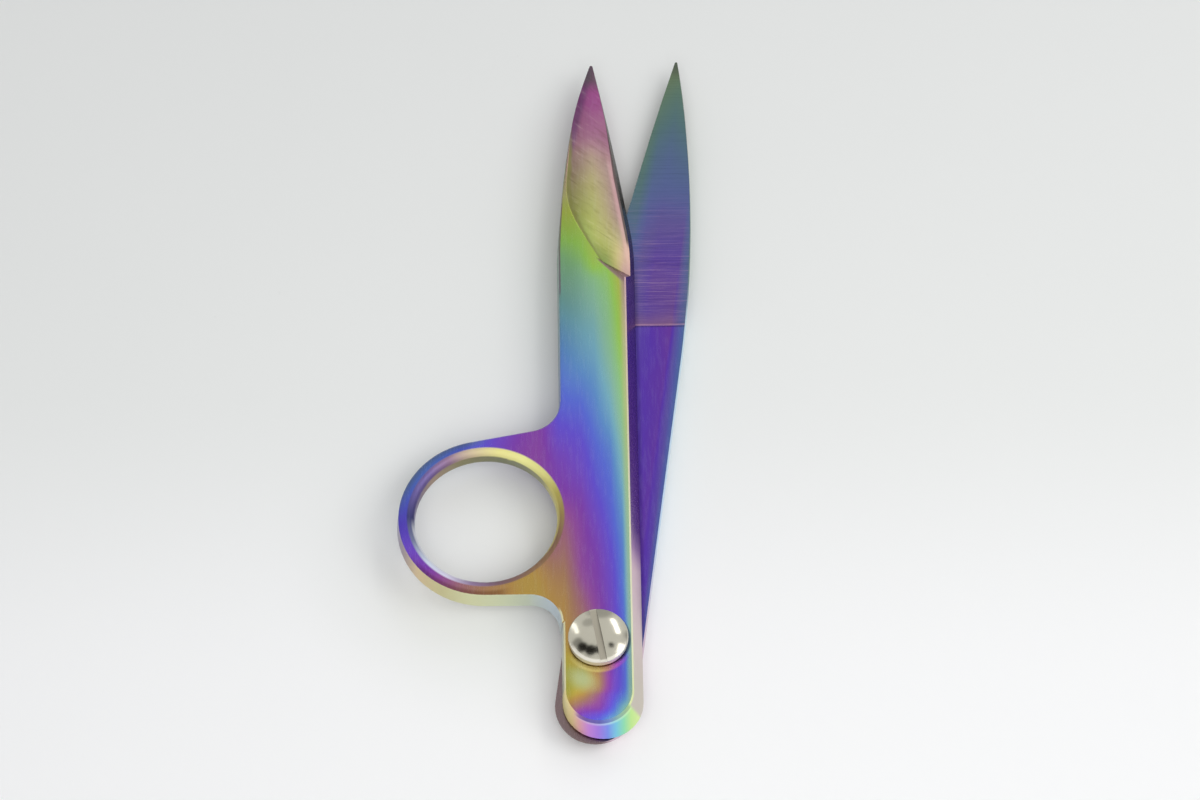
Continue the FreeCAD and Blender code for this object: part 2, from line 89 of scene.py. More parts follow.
class Graph:
    """A node tree of a material or of the world, with short calls for the nodes that the finishes use."""

    def __init__(self, owner: Union[bpy.types.Material, bpy.types.World]) -> None:
        """Starts an empty node tree.

        Args:
            owner: The material or the world that it belongs to.
        """
        self.owner = owner
        self.owner.use_nodes = True
        self.nodes = owner.node_tree.nodes
        self.links = owner.node_tree.links
        self.nodes.clear()

    def add(self, kind: str, fed: Mapping = MappingProxyType({}), **settings: Any) -> bpy.types.Node:
        """Adds a node.

        Args:
            kind: The node's type.
            fed: What its inputs are fed, by name or number.
            settings: Properties to set on it.

        Returns:
            The node.
        """
        node = self.nodes.new(kind)
        for name, value in settings.items():
            setattr(node, name, value)
        for name, value in fed.items():
            self.feed(node.inputs[name], value)
        return node

    def feed(self, socket: Socket, value: Any) -> None:
        """Links a socket to another, or sets it.

        Args:
            socket: The input to feed.
            value: An output socket, a number, a vector or a display colour.
        """
        if isinstance(value, Socket):
            self.links.new(value, socket)
        elif isinstance(value, str):
            socket.default_value = linear(value)
        else:
            socket.default_value = value

    def math(self, operation: str, first: Value, second: Value = 0.0) -> Socket:
        """Works out one sum.

        Args:
            operation: The Math node's operation.
            first: Its first value.
            second: Its second value.

        Returns:
            The result.
        """
        return self.add("ShaderNodeMath", {0: first, 1: second}, operation=operation).outputs[0]

    def plus(self, first: Value, second: Value) -> Socket:
        """Adds two numbers."""
        return self.math("ADD", first, second)

    def minus(self, first: Value, second: Value) -> Socket:
        """Takes the second number from the first."""
        return self.math("SUBTRACT", first, second)

    def most(self, *values: Value) -> Socket:
        """Gives the largest of some numbers.

        Args:
            values: The numbers.

        Returns:
            The largest.
        """
        largest = values[0]
        for value in values[1:]:
            largest = self.math("MAXIMUM", largest, value)
        return largest

    def length(self, first: Value, second: Value) -> Socket:
        """Gives the length of the long side over two square sides."""
        return self.math("POWER", self.plus(self.both(first, first), self.both(second, second)), 0.5)

    def step(self, value: Value, low: float, high: float, way: str = "SMOOTHSTEP") -> Socket:
        """Goes from 0 to 1 as a value goes from low to high.

        Args:
            value: The value.
            low: Where it starts.
            high: Where it ends.
            way: How it goes from one to the other.

        Returns:
            The way gone, from 0 to 1.
        """
        fed = {"Value": value, "From Min": low, "From Max": high}
        return self.add("ShaderNodeMapRange", fed, interpolation_type=way).outputs["Result"]

    def share(self, value: Value, low: float, high: float) -> Socket:
        """Goes evenly from 0 to 1 as a value goes from low to high."""
        return self.step(value, low, high, "LINEAR")

    def both(self, *shares: Share) -> Socket:
        """Multiplies shares together, for where all of them hold.

        Args:
            shares: Numbers, or a value with the low and the high end that it steps between.

        Returns:
            The product.
        """
        product, *others = (self.step(*share) if isinstance(share, tuple) else share for share in shares)
        for share in others:
            product = self.math("MULTIPLY", product, share)
        return product

    def blend(self, share: Value, first: Value, second: Value) -> Socket:
        """Blends two numbers.

        Args:
            share: 0 for the first and 1 for the second.
            first: The first number.
            second: The second number.

        Returns:
            The blended number.
        """
        return self.add("ShaderNodeMix", {0: share, 2: first, 3: second}, data_type="FLOAT").outputs[0]

    def over(self, colour: Colour, tint: Colour, *shares: Share, kind: str = "MIX") -> Socket:
        """Lays a tint over a colour.

        Args:
            colour: The colour under it.
            tint: What is laid over it.
            shares: Where and how strongly it is laid, multiplied as both does it.
            kind: How it is laid.

        Returns:
            The tinted colour.
        """
        fed = {0: self.both(*shares), 6: colour, 7: tint}
        return self.add("ShaderNodeMix", fed, data_type="RGBA", blend_type=kind).outputs[2]

    def ramp(self, value: Value, stops: Stops) -> Socket:
        """Looks a value up in a row of colours.

        Args:
            value: The value to look up.
            stops: Values and their display colours, in rising order.

        Returns:
            The colour.
        """
        low, high = stops[0][0], stops[-1][0]
        node = self.add("ShaderNodeValToRGB", {0: self.share(value, low, high)})
        elements = node.color_ramp.elements
        elements[0].color = linear(stops[0][1])
        elements[-1].color = linear(stops[-1][1])
        for at, code in stops[1:-1]:
            elements.new((at - low) / (high - low)).color = linear(code)
        return node.outputs[0]

    def curve(self, value: Value, points: Points) -> Socket:
        """Looks a value up on a smooth curve.

        Args:
            value: The value to look up.
            points: The curve's points, in rising order, with heights from 0 to 1.

        Returns:
            The curve's height there.
        """
        low, high = points[0][0], points[-1][0]
        node = self.add("ShaderNodeFloatCurve", {"Value": self.share(value, low, high)})
        handles = node.mapping.curves[0].points
        handles[0].location = (0.0, points[0][1])
        handles[-1].location = (1.0, points[-1][1])
        for at, height in points[1:-1]:
            handles.new((at - low) / (high - low), height)
        node.mapping.update()
        return node.outputs[0]

    def position(self, turn: float = 0.0, centre: tuple[float, float] = (0.0, 0.0)) -> tuple:
        """Gives a point's place on the piece, in millimetres.

        Args:
            turn: How far the axes are turned about Z, in degrees.
            centre: Where they start, in millimetres.

        Returns:
            The vector, and its three parts.
        """
        placed = {"Vector": self.add("ShaderNodeTexCoord").outputs["Object"],
                  "Location": (centre[0] * MM, centre[1] * MM, 0.0), "Rotation": (0.0, 0.0, math.radians(turn))}
        mapping = self.add("ShaderNodeMapping", placed, vector_type="TEXTURE")
        scale = self.add("ShaderNodeVectorMath", {0: mapping.outputs[0], "Scale": PER_METRE}, operation="SCALE")
        return (scale.outputs[0], *self.add("ShaderNodeSeparateXYZ", {0: scale.outputs[0]}).outputs)

    def facing(self) -> tuple:
        """Gives the three parts of the piece's own surface normal."""
        normal = self.add("ShaderNodeTexCoord").outputs["Normal"]
        return tuple(self.add("ShaderNodeSeparateXYZ", {0: normal}).outputs)

    def noise(self, vector: Socket, stretch: tuple, scale: float = 1.0,
              detail: float = 3.0, roughness: float = 0.55) -> Socket:
        """Gives a stretched noise.

        Args:
            vector: The place on the piece, in millimetres.
            stretch: How many times finer the noise is along X, Y and Z.
            scale: Its overall fineness, per millimetre.
            detail: Its number of finer layers.
            roughness: How strong the finer layers are.

        Returns:
            The noise, from 0 to 1.
        """
        scaled = self.add("ShaderNodeVectorMath", {0: vector, 1: stretch}, operation="MULTIPLY").outputs[0]
        fed = {"Vector": scaled, "Scale": scale, "Detail": detail, "Roughness": roughness}
        return self.add("ShaderNodeTexNoise", fed).outputs[0]

    def bump(self, height: Value, distance: float, strength: float = 1.0,
             where: Value = 1.0) -> Socket:
        """Turns a height into a surface normal.

        Args:
            height: The height, from 0 to 1.
            distance: What a height of 1 stands for, in millimetres.
            strength: How strongly it shows.
            where: The share of the surface that is bumped; the rest stays smooth.

        Returns:
            The normal.
        """
        bumped = self.add("ShaderNodeBump", {"Strength": strength, "Distance": distance * MM, "Height": height})
        even = self.add("ShaderNodeNewGeometry").outputs["Normal"]
        return self.add("ShaderNodeMix", {0: where, 4: even, 5: bumped.outputs[0]}, data_type="VECTOR").outputs[1]

    def finish(self, colour: Colour, roughness: Value, metallic: Value, normal: Any = None) -> bpy.types.Material:
        """Ends the material in one shader.

        Args:
            colour: The base colour.
            roughness: The roughness.
            metallic: 1 for bare metal, 0 for anything else, and less than 1 where painted pale highlights are to take
                the lamps' light.
            normal: The surface normal, where it isn't the mesh's own.

        Returns:
            The material.
        """
        fed = {"Base Color": colour, "Roughness": roughness, "Metallic": metallic}
        if normal is not None:
            fed["Normal"] = normal
        self.add("ShaderNodeOutputMaterial", {0: self.add("ShaderNodeBsdfPrincipled", fed).outputs[0]})
        return self.owner


THICKNESS_TINTS: Stops = (
    (0.00, "#a8a246"), (0.03, "#b29d46"), (0.07, "#ae894e"), (0.12, "#a1785f"), (0.18, "#9a6579"), (0.24, "#904f98"),
    (0.30, "#7f43a8"), (0.36, "#744cbd"), (0.42, "#6552cc"), (0.48, "#5c6dd2"), (0.54, "#6290c8"), (0.60, "#78adc0"),
    (0.66, "#8abaa6"), (0.72, "#92c48a"), (0.77, "#9ccb5f"), (0.82, "#b2bf58"), (0.87, "#bab476"), (0.92, "#b0938a"),
    (0.96, "#a06c88"), (1.00, "#a85a96"),
)
TOP = 6.8
PALE_ROUGHNESS = 0.42
PALE_METAL = 0.35
DRIFT_STRETCH = (0.12, 0.06, 0.12)
DRIFT_DEPTH = 0.04
GRAIN_STRETCH = (2.2, 0.25, 1.0)
GRAIN_SCALE = 1.4
GRAIN_LOW, GRAIN_HIGH = 0.45, 0.7
GRAIN_SHARE = 0.03


def drifting(graph: Graph, place: Socket, thickness: Value) -> Socket:
    """Lets a thickness wander a little from place to place.

    Args:
        graph: The material's nodes.
        place: The place on the piece, in millimetres.
        thickness: The even thickness.

    Returns:
        The wandering thickness.
    """
    drift = graph.noise(place, DRIFT_STRETCH, detail=1.0)
    return graph.plus(thickness, graph.both(graph.minus(drift, 0.5), DRIFT_DEPTH))


class Finish:
    """A finish that a piece can have."""

    def make(self) -> bpy.types.Material:
        """Builds the material."""
        raise NotImplementedError


@dataclass(frozen=True)
class Coating:
    """How thick the coating is over a flat face: rows of points along Y, one for each X."""

    columns: Sequence[tuple[float, Points]]

    def lay(self, graph: Graph, across: Value, along: Value) -> Socket:
        """Builds the thickness.

        Args:
            graph: The material's nodes.
            across: The place across the face, in millimetres.
            along: The place along it, in millimetres.

        Returns:
            The thickness, from 0 to 1.
        """
        last, points = self.columns[0]
        thickness = graph.curve(along, points)
        for at, points in self.columns[1:]:
            thickness = graph.blend(graph.share(across, last, at), thickness, graph.curve(along, points))
            last = at
        return thickness


@dataclass(frozen=True)
class RainbowRingBlade(Finish):
    """The coating of the ring blade: lime and mauve at the point, blue, then violet and gold at the pivot."""

    flat: Coating = Coating((
        (-4.9, ((-13, .30), (-11, .11), (-9.5, .03), (-8, .0), (-5.5, .0), (0, .06), (7, .09), (15, .16), (20, .2),
                (25, .29), (30, .33), (35, .4), (40, .46), (50, .54), (58, .62), (66, .70), (70, .76), (76, .83),
                (80, .90), (86, .95), (104, 1.0))),
        (-2.2, ((-13, .42), (-12, .34), (-11, .24), (-9.5, .12), (-8, .04), (-6, .0), (-4, .04), (7, .19), (12, .25),
                (20, .28), (30, .38), (40, .48), (50, .58), (62, .67), (68, .76), (78, .84), (86, .93), (94, .99),
                (104, 1.0))),
        (0.0, ((-13, .46), (-12, .40), (-11, .28), (-9, .21), (-6.5, .10), (-3, .18), (7, .28), (15, .32), (25, .41),
               (35, .49), (50, .60), (58, .66), (62, .70), (66, .79), (78, .84), (86, .91), (94, .99), (104, 1.0))),
        (2.2, ((-13, .62), (-11, .48), (-9, .42), (-7, .36), (7, .38), (20, .45), (30, .50), (40, .60), (50, .68),
               (62, .75), (70, .84), (82, .91), (90, .96), (104, 1.0))),
        (3.8, ((-13, .74), (-11, .65), (-9, .52), (-7, .48), (10, .50), (20, .53), (30, .61), (40, .70), (50, .76),
               (58, .79), (64, .83), (70, .87), (77, .93), (84, .955), (104, 1.0))),
        (4.9, ((-13, .76), (-7, .66), (7, .68), (20, .70), (40, .78), (50, .80), (58, .87), (63, .90), (69, .90),
               (77, .95), (104, 1.0))),
    ))
    hole: tuple[float, float] = (-16.6, 20.75)
    around: Points = (
        (-180, .43), (-140, .33), (-120, .22), (-100, .14), (-80, .09), (-60, .06), (-40, .12), (-20, .22), (0, .26),
        (40, .27), (60, .28), (80, .36), (100, .46), (140, .50), (180, .43),
    )
    rim: Stops = (
        (-180, "#2f3068"), (-160, "#6b7191"), (-138, "#cad3e6"), (-120, "#dad6ee"), (-100, "#93799f"),
        (-80, "#7a5a64"), (-50, "#8c6a49"), (-20, "#7a5840"), (0, "#927a48"), (20, "#aea250"), (40, "#e2dc8a"),
        (60, "#f6f29e"), (80, "#eee696"), (100, "#d3c09c"), (120, "#90708f"), (140, "#6a5893"), (160, "#5c508e"),
        (180, "#2f3068"),
    )
    hole_wall_tint_and_light: Stops = (
        (-180, "#8482a4"), (-160, "#d4daea"), (-140, "#f2f4fa"), (-110, "#d8c6e0"), (-80, "#8a6f76"),
        (-40, "#8a6c5a"), (-15, "#b4a866"), (0, "#c4ba70"), (20, "#bab888"), (40, "#9a9a7c"), (60, "#8a8c70"),
        (80, "#808164"), (110, "#8c8660"), (140, "#a48a78"), (160, "#6c5e80"), (180, "#8482a4"),
    )
    outer_wall_tint_and_light: Stops = (
        (-180, "#a29eba"), (-160, "#a0909e"), (-140, "#e2c99c"), (-120, "#d0c894"), (-100, "#d8d9ac"),
        (-80, "#d4dab6"), (-65, "#cad2bc"), (-55, "#c0ccd8"), (-30, "#b4c2d6"), (0, "#8f6fae"), (80, "#6f50a8"),
        (100, "#5c62a6"), (140, "#647a92"), (180, "#a29eba"),
    )
    right_wall_tint_and_light: Stops = (
        (-13, "#c8c0b4"), (-7, "#c8c0b2"), (7, "#d6bfc4"), (12, "#dcc2c8"), (16, "#bc96bc"), (20, "#cca8c8"),
        (24, "#bc94c4"), (36, "#a87cb8"), (50, "#9874b4"), (62, "#866ca4"), (66, "#6a5486"), (70, "#5f5670"),
        (74, "#5e5656"), (88, "#54504c"), (104, "#4c504a"),
    )
    back_wall: Stops = (
        (-13, "#b9ae7a"), (6, "#a6a07c"), (36, "#6a74b4"), (60, "#6f9a94"), (80, "#7c8a54"), (104, "#5c4a58"),
    )
    right_edge_highlight: Stops = (
        (-12, "#dce6a4"), (0, "#e2e4c0"), (24, "#e0debc"), (40, "#ddd6b2"), (54, "#dcc4b0"), (64, "#d4aab4"),
    )
    tail: Stops = (
        (-5.4, "#e4da9a"), (-4.0, "#e6cc92"), (-2.8, "#e0a2ae"), (-1.6, "#c987dc"), (-0.2, "#a57ae2"),
        (1.2, "#7c90ea"), (2.4, "#78c6e0"), (3.6, "#8fdcae"), (4.6, "#c0e890"), (5.8, "#d6ec9c"),
    )
    shade_under_shoulder: Stops = ((0.0, "#6a5646"), (0.35, "#7c6460"), (0.7, "#8a6c74"), (1.1, "#9a8c78"))
    head_reflection: Stops = (
        (-4.4, "#b8a850"), (-2.4, "#dccf8c"), (0.0, "#e2cf7c"), (1.4, "#d8a060"), (2.6, "#c85cb4"), (4.2, "#7c50d0"),
    )
    skin: Stops = (
        (-3.6, "#94649c"), (-2.0, "#5b3f9c"), (0.0, "#5450a6"), (1.4, "#6478c0"), (2.6, "#7ca4a2"), (4.2, "#98b884"),
    )
    cutting_side_highlight: Stops = (
        (-13, "#c4dc9c"), (-10, "#94ac90"), (-7, "#88a494"), (7, "#98b6a4"), (25, "#a6be92"), (36, "#b4bc8a"),
        (42, "#c2bc98"), (54, "#cabba4"), (62, "#ac8a92"), (66, "#dcb2b4"),
    )
    tail_highlight_line: Stops = ((-3.0, "#e4bcd4"), (0.0, "#c0c4f0"), (2.0, "#b4e8e4"), (4.4, "#d4f0b0"))
    heel_highlight: Stops = ((2.0, "#c8cc88"), (3.6, "#e6cf98"), (5.0, "#e6b8ae"))
    shoulder_start: float = 67.0
    shoulder_slope: float = 0.71
    ripple_turn: float = -34.0
    tail_highlight_centre: tuple[float, float] = (-2.4, -6.4)

    def flank(self, graph: Graph) -> Socket:
        """Colours the flat outer face and the finger ring's face.

        Args:
            graph: The material's nodes.

        Returns:
            The colour.
        """
        place, across, along, _ = graph.position()
        angle, _ = self.around_hole(graph)
        thickness = graph.blend(self.on_ring(graph), self.flat.lay(graph, across, along),
                                graph.curve(angle, self.around))
        colour = graph.ramp(drifting(graph, place, thickness), THICKNESS_TINTS)
        for shade in (self.shade_blade, self.shade_ring, self.shade_tail):
            colour = shade(graph, colour)
        return colour

    def shade_blade(self, graph: Graph, colour: Colour) -> Socket:
        """Paints a pale highlight on the flat along its cutting side, darkens it a little towards the facet and
        paints shade under the shoulder.

        Args:
            graph: The material's nodes.
            colour: The colour of the coating.

        Returns:
            The shaded colour.
        """
        _, across, along, _ = graph.position()
        # Painted highlight: a pale line on the flat along the cutting side.
        colour = graph.over(colour, graph.ramp(along, self.cutting_side_highlight), (across, 3.9, 4.75), (along, 67.0, 65.0), 0.65)
        colour = graph.over(colour, "#b4bab0", (along, 43.0, 61.0), (across, 1.0, -4.5),
                            graph.blend(graph.step(along, 65.0, 70.0), 1.0, 0.75), 0.6, kind="MULTIPLY")
        colour = graph.over(colour, "#f2f2f2", (along, 38.0, 58.0), kind="MULTIPLY")
        # Painted shade: a dark wedge on the flat under the facet's shoulder.
        leaning = graph.plus(along, graph.both(across, self.shoulder_slope))
        width = graph.plus(0.3, graph.both(graph.share(across, 0.6, 5.6), 1.7))
        below = graph.math("DIVIDE", graph.minus(self.shoulder_start, leaning), width)
        return graph.over(colour, graph.ramp(below, self.shade_under_shoulder), (below, 1.3, 0.8), (below, -0.2, 0.0),
                          (across, 0.2, 1.4), (across, 4.95, 4.75), 0.9)

    def shade_ring(self, graph: Graph, colour: Colour) -> Socket:
        """Shades the finger ring's face: its far side, its outer side and its low edge.

        Args:
            graph: The material's nodes.
            colour: The colour of the coating.

        Returns:
            The shaded colour.
        """
        _, across, along, _ = graph.position()
        angle, radius = self.around_hole(graph)
        on_ring = self.on_ring(graph)
        colour = graph.over(colour, "#5f7290", on_ring, (angle, 85.0, 105.0), (angle, 185.0, 150.0),
                            (radius, 11.8, 12.9), 0.75)
        colour = graph.over(colour, "#d8d8e0", (across, -17.5, -20.5), (along, 14.5, 20.0), kind="MULTIPLY")
        return graph.over(colour, "#d2c6c0", on_ring, (radius, 12.3, 12.9), (along, 15.0, 11.0),
                          (across, -12.5, -15.0), kind="MULTIPLY")

    def shade_tail(self, graph: Graph, colour: Colour) -> Socket:
        """Paints light and shade on the tail round the screw: a pale highlight patch, the head's reflection, the
        head's shadow and a lighter area below the head.

        Args:
            graph: The material's nodes.
            colour: The colour of the coating.

        Returns:
            The shaded colour.
        """
        _, across, along, _ = graph.position()
        # Painted highlight: a pale patch on the tail below the screw.
        _, from_x, from_y, _ = graph.position(turn=-38.0, centre=self.tail_highlight_centre)
        distance = graph.length(graph.both(from_x, 0.7), from_y)
        colour = graph.over(colour, "#adb68c", (distance, 2.4, 0.2), 0.75)
        # Painted reflection of the screw head's bright rim in the flat below it.
        from_pivot = graph.length(across, along)
        colour = graph.over(colour, graph.ramp(across, self.head_reflection), (from_pivot, 5.5, 5.1), (along, -2.0, -3.6),
                            0.6)
        # Painted shadow to the right of the screw head.
        colour = graph.over(colour, "#1e1c38", (from_pivot, 4.95, 4.6), (across, 1.5, 3.5), 0.75)
        # Painted light: the tail below the head is brightened.
        return graph.over(colour, colour, (along, -3.5, -6.5), (across, -4.6, -3.2), (across, 3.6, 1.4), 0.2,
                          kind="ADD")

    def on_ring(self, graph: Graph) -> Socket:
        """Gives the share that belongs to the finger ring, from none on the blade."""
        return graph.step(graph.position()[1], -5.0, -9.0)

    def around_hole(self, graph: Graph) -> tuple:
        """Measures round the finger hole.

        Args:
            graph: The material's nodes.

        Returns:
            A point's bearing from the hole's middle, in degrees, and its distance from it.
        """
        _, from_x, from_y, _ = graph.position(centre=self.hole)
        angle = graph.both(graph.math("ARCTAN2", from_y, from_x), math.degrees(1.0))
        return angle, graph.length(from_x, from_y)

    def facet(self, graph: Graph, colour: Colour) -> tuple:
        """Lays the ground facet's ripples over a colour, with painted shade on its left and along its cutting side,
        and painted highlights on its ripples, inside its cutting side and at its lower corner.

        Args:
            graph: The material's nodes.
            colour: The colour under them.

        Returns:
            The share of the facet, the ripples' height and the colour.
        """
        _, across, along, height = graph.position()
        out_z = graph.facing()[2]
        lowered = graph.both((out_z, 0.72, 0.8), (along, 58.0, 62.0))
        share = graph.both((height, TOP - 0.005, TOP - 0.05), lowered)
        slanted = graph.position(turn=self.ripple_turn)[0]
        ripple = graph.noise(slanted, (0.35, 1.6, 0.5), detail=4.0, roughness=0.6)
        streak = graph.noise(slanted, (0.12, 2.6, 0.5), detail=2.0, roughness=0.5)
        low = graph.both(share, (along, 92.0, 84.0))
        colour = graph.over(colour, "#a0937c", low, 0.3)
        colour = graph.over(colour, "#e6e6e6", low, kind="MULTIPLY")
        colour = graph.over(colour, "#a87890", share, (along, 86.0, 90.0), (along, 98.0, 94.0), 0.3)
        from_left = graph.plus(across, graph.both(graph.minus(along, 90.0), -0.19))
        colour = graph.over(colour, "#5c3c68", share, (from_left, -1.9, -2.9), (along, 84.0, 88.0), 0.6)
        # Painted shade: the left of the hollow-ground facet is darkened.
        left = graph.step(graph.minus(graph.both(graph.minus(along, 70.0), 0.08), across), 0.0, 4.4)
        colour = graph.over(colour, "#b8b2ae", share, left, graph.blend(graph.step(along, 82.0, 90.0), 0.7, 0.4),
                            kind="MULTIPLY")
        colour = graph.over(colour, "#b8b09a", share, (ripple, 0.5, 0.3), 0.3, kind="MULTIPLY")
        colour = graph.over(colour, "#8c8468", low, (streak, 0.66, 0.74), 0.35, kind="MULTIPLY")
        # Painted highlight: pale glints on the ripples.
        colour = graph.over(colour, "#ecdcc4", share, (ripple, 0.56, 0.75), 0.1)
        past_edge = graph.plus(across, graph.both(graph.minus(along, 74.0), 0.15))
        # Painted highlight: a pink line just inside the facet's cutting side.
        colour = graph.over(colour, "#d4a8ac", share, (past_edge, 3.9, 4.5), (along, 90.0, 84.0), 0.3)
        # Painted highlight at the facet's lower corner by the cutting side.
        colour = graph.over(colour, graph.ramp(across, self.heel_highlight), share, (across, 1.5, 4.5), (along, 72.0, 66.5),
                            0.4)
        # Painted shadow: a dark strip for the shaded cutting wall along the facet's edge.
        past_edge = graph.minus(past_edge, graph.both(graph.share(along, 83.0, 95.0), 0.6))
        colour = graph.over(colour, "#4a4442", share, (past_edge, 4.7, 4.86), (along, 69.0, 71.0), 0.9)
        return share, ripple, self.rim_of_facet(graph, colour, lowered)

    def rim_of_facet(self, graph: Graph, colour: Colour, lowered: Value) -> Socket:
        """Darkens the facet's shallow border with painted shade, and darkens the shoulder that it ends in.

        Args:
            graph: The material's nodes.
            colour: The colour under them.
            lowered: The share of the blade that is ground and nearly level.

        Returns:
            The colour.
        """
        _, _, along, height = graph.position()
        out_z = graph.facing()[2]
        # Painted shade along the facet's shallow border.
        colour = graph.over(colour, "#6a6a3a", (height, TOP - 0.22, TOP - 0.08), lowered,
                            (height, TOP - 0.002, TOP - 0.012), (along, 94.0, 86.0),
                            graph.blend(graph.step(along, 70.0, 68.0), 0.7, 0.35))
        return graph.over(colour, "#6a4c66", (out_z, 0.58, 0.62), (out_z, 0.8, 0.72), (along, 59.0, 61.0),
                          (height, TOP, TOP - 0.02), 0.75)

    def hollow(self, graph: Graph, colour: Colour) -> tuple:
        """Colours the finger hole's rounded rim and the wall down it, partly with painted highlights and shade that
        change round the hole.

        Args:
            graph: The material's nodes.
            colour: The colour beside them.

        Returns:
            The share of the hole and the colour.
        """
        _, _, along, _ = graph.position()
        angle, radius = self.around_hole(graph)
        in_hole = graph.step(radius, 11.95, 11.65)
        # The rim's and the wall's colours round the hole are partly the coating's and partly painted highlights and
        # shade.
        colour = graph.over(colour, graph.ramp(angle, self.rim), in_hole)
        colour = graph.over(colour, graph.ramp(angle, self.hole_wall_tint_and_light), in_hole, (graph.facing()[2], 0.4, 0.15))
        # Painted highlights: a pale band low on the hole's left, and a golden one on its right.
        colour = graph.over(colour, "#f0f2f8", in_hole, (radius, 11.3, 10.95), (angle, -95.0, -115.0),
                            (along, 21.0, 18.0), 0.7)
        colour = graph.over(colour, "#d6cc7c", in_hole, (radius, 11.2, 10.9), (angle, -45.0, -25.0),
                            (angle, 40.0, 25.0), 0.7)
        return in_hole, colour

    def walls(self, graph: Graph, colour: Colour) -> tuple:
        """Colours the walls outside, partly with painted light, and paints highlights on the broken edges between
        them and the face.

        Args:
            graph: The material's nodes.
            colour: The colour beside them.

        Returns:
            The share painted pale with highlights, which is made less metallic, and the colour.
        """
        _, across, along, height = graph.position()
        out_x, _, out_z = graph.facing()
        angle, radius = self.around_hole(graph)
        upright = graph.step(out_z, 0.62, 0.5)
        outside = graph.both(upright, (across, -4.6, -5.6), (radius, 11.9, 12.1), (along, 37.0, 35.0))
        right = graph.both(upright, (out_x, 0.3, 0.5), (across, -6.0, -4.0))
        break_line = graph.both((out_z, 0.96, 0.9), (out_z, 0.55, 0.62))
        right_edge_highlight = graph.both(break_line, (out_x, 0.4, 0.6), (along, 64.5, 63.5), (across, 0.0, 2.0))
        left_edge_highlight = graph.both(break_line, (out_x, -0.4, -0.6), (along, 5.5, 4.5), (across, -7.0, -6.0))
        # The outer wall's colours round the ring are partly the coating's and partly painted highlights and shade.
        colour = graph.over(colour, graph.ramp(angle, self.outer_wall_tint_and_light), outside)
        # Painted highlight: a cream line along the outer wall's top edge.
        colour = graph.over(colour, "#f0e8ae", outside, (height, TOP - 0.35, TOP - 0.12), (along, 16.0, 11.0), 0.6)
        # The right wall's colours are partly painted light and shade.
        colour = graph.over(colour, graph.ramp(along, self.right_wall_tint_and_light), right)
        # Painted highlights on the broken edges.
        colour = graph.over(colour, graph.ramp(along, self.right_edge_highlight), right_edge_highlight)
        colour = graph.over(colour, "#e2dcb4", left_edge_highlight)
        pale_highlight_share = graph.most(outside, right_edge_highlight, left_edge_highlight, graph.both(right, (along, 20.0, 12.0)))
        return pale_highlight_share, colour

    def round_tail(self, graph: Graph, colour: Colour) -> tuple:
        """Colours the slanted wall round the tail, with a painted highlight line and the dark skin above it.

        Args:
            graph: The material's nodes.
            colour: The colour beside it.

        Returns:
            The share of the wall and the colour.
        """
        _, across, along, height = graph.position()
        leaning = graph.plus(along, graph.both(across, 0.28))
        tail = graph.both((graph.facing()[2], 0.86, 0.8), (leaning, -9.0, -9.8))
        inward = graph.step(across, -3.8, -2.8)
        colour = graph.over(colour, graph.ramp(across, self.tail), tail)
        # Painted highlight: a pale line along the tail wall's upper part.
        colour = graph.over(colour, graph.ramp(across, self.tail_highlight_line), tail, inward,
                            (height, TOP - 0.95, TOP - 0.6), 0.7)
        colour = graph.over(colour, graph.ramp(across, self.skin), tail, inward, (height, TOP - 0.55, TOP - 0.4), 0.9)
        return tail, colour

    def make(self) -> bpy.types.Material:
        """Builds the material.

        Returns:
            The material.
        """
        graph = Graph(bpy.data.materials.new("rainbow_titanium_ring_blade"))
        place, across, along, _ = graph.position()
        out_x, _, out_z = graph.facing()
        share, ripple, colour = self.facet(graph, self.flank(graph))
        colour = graph.over(colour, graph.ramp(along, self.back_wall), (out_z, 0.62, 0.5), (out_x, -0.3, -0.5),
                            (across, -7.0, -6.0))
        in_hole, colour = self.hollow(graph, colour)
        on_walls, colour = self.walls(graph, colour)
        tail, colour = self.round_tail(graph, colour)
        colour = graph.over(colour, "#4a4c48", (along, 99.5, 103.0), 0.75)
        # Painted pale highlights and edges are made less metallic, so that they take the lamps' light.
        pale_highlight_share = graph.most(in_hole, on_walls, tail)
        grain = graph.noise(place, GRAIN_STRETCH, scale=GRAIN_SCALE, detail=4.0, roughness=0.6)
        colour = graph.over(colour, "#d8dce0", (grain, GRAIN_LOW, GRAIN_HIGH), GRAIN_SHARE)
        roughness = graph.blend(share, graph.plus(0.25, graph.both(grain, 0.04)), 0.36)
        return graph.finish(colour, graph.blend(pale_highlight_share, roughness, PALE_ROUGHNESS),
                            graph.blend(pale_highlight_share, 1.0, PALE_METAL), graph.bump(ripple, 0.05, 0.3, share))


